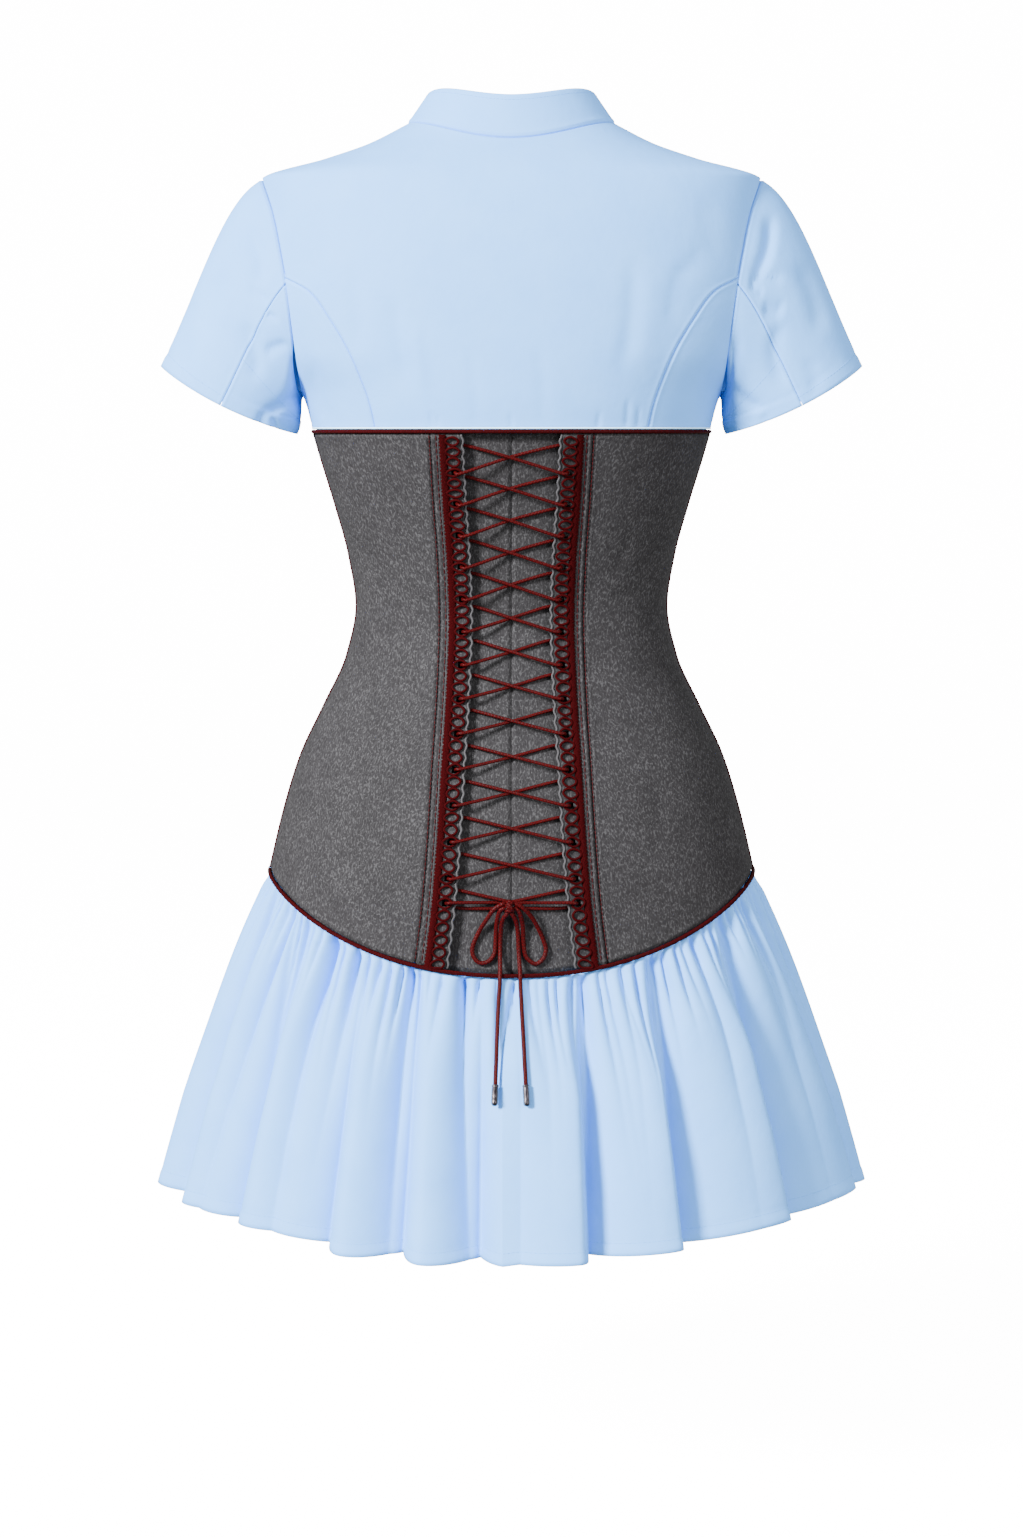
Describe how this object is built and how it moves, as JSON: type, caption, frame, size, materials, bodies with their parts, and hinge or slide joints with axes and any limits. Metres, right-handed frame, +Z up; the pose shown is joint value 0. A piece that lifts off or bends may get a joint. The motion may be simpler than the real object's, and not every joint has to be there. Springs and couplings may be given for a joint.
{
  "type": "corset dress",
  "caption": "Short-sleeved mini dress with a stand collar, a laced corset with piped edges and a gathered skirt, filled out as worn.",
  "frame": {"origin": "on the shoulder line, halfway between the points where the shoulder seams meet the collar, where the wearer's shoulders hold the dress", "axes": "+Z up; the laced back faces -Y, the wearer's front faces +Y, +X is the wearer's right"},
  "size_m": [0.548, 0.4037, 0.8479],
  "materials": {
    "poplin": "light blue cotton poplin, matt",
    "denim": "grey heather chambray denim, matt",
    "trim": "dark red cord, piping and loop tape",
    "metal": "dark gunmetal lace tips",
    "button": "pale blue shirt buttons"
  },
  "bodies": {
    "root": {"bodice_back_centre": "poplin", "bodice_front_right": "poplin", "bodice_front_left": "poplin", "bodice_side_back_right": "poplin", "bodice_side_back_left": "poplin", "bodice_side_front_right": "poplin", "bodice_side_front_left": "poplin", "collar": "poplin", "sleeve_upper_right": "poplin", "sleeve_upper_left": "poplin", "sleeve_under_right": "poplin", "sleeve_under_left": "poplin", "skirt_back": "poplin", "skirt_front": "poplin", "shirt_placket": "poplin", "corset_back_right": "denim", "corset_back_left": "denim", "modesty_panel_right": "denim", "modesty_panel_left": "denim", "lacing_placket_right": "denim", "lacing_placket_left": "denim", "corset_side_front_right": "denim", "corset_side_front_left": "denim", "corset_front_centre": "denim", "loop_tape_right": "trim", "loop_tape_left": "trim", "piping_top": "trim", "piping_bottom": "trim", "piping_side_right": "trim", "piping_side_left": "trim", "lace_first": "trim", "lace_second": "trim", "bow_loop_left": "trim", "bow_loop_right": "trim", "bow_knot": "trim", "lace_end_left": "trim", "lace_end_right": "trim", "aglet_left": "metal", "aglet_right": "metal", "button_1": "button", "button_2": "button", "button_3": "button", "button_4": "button"}
  },
  "joints": []
}
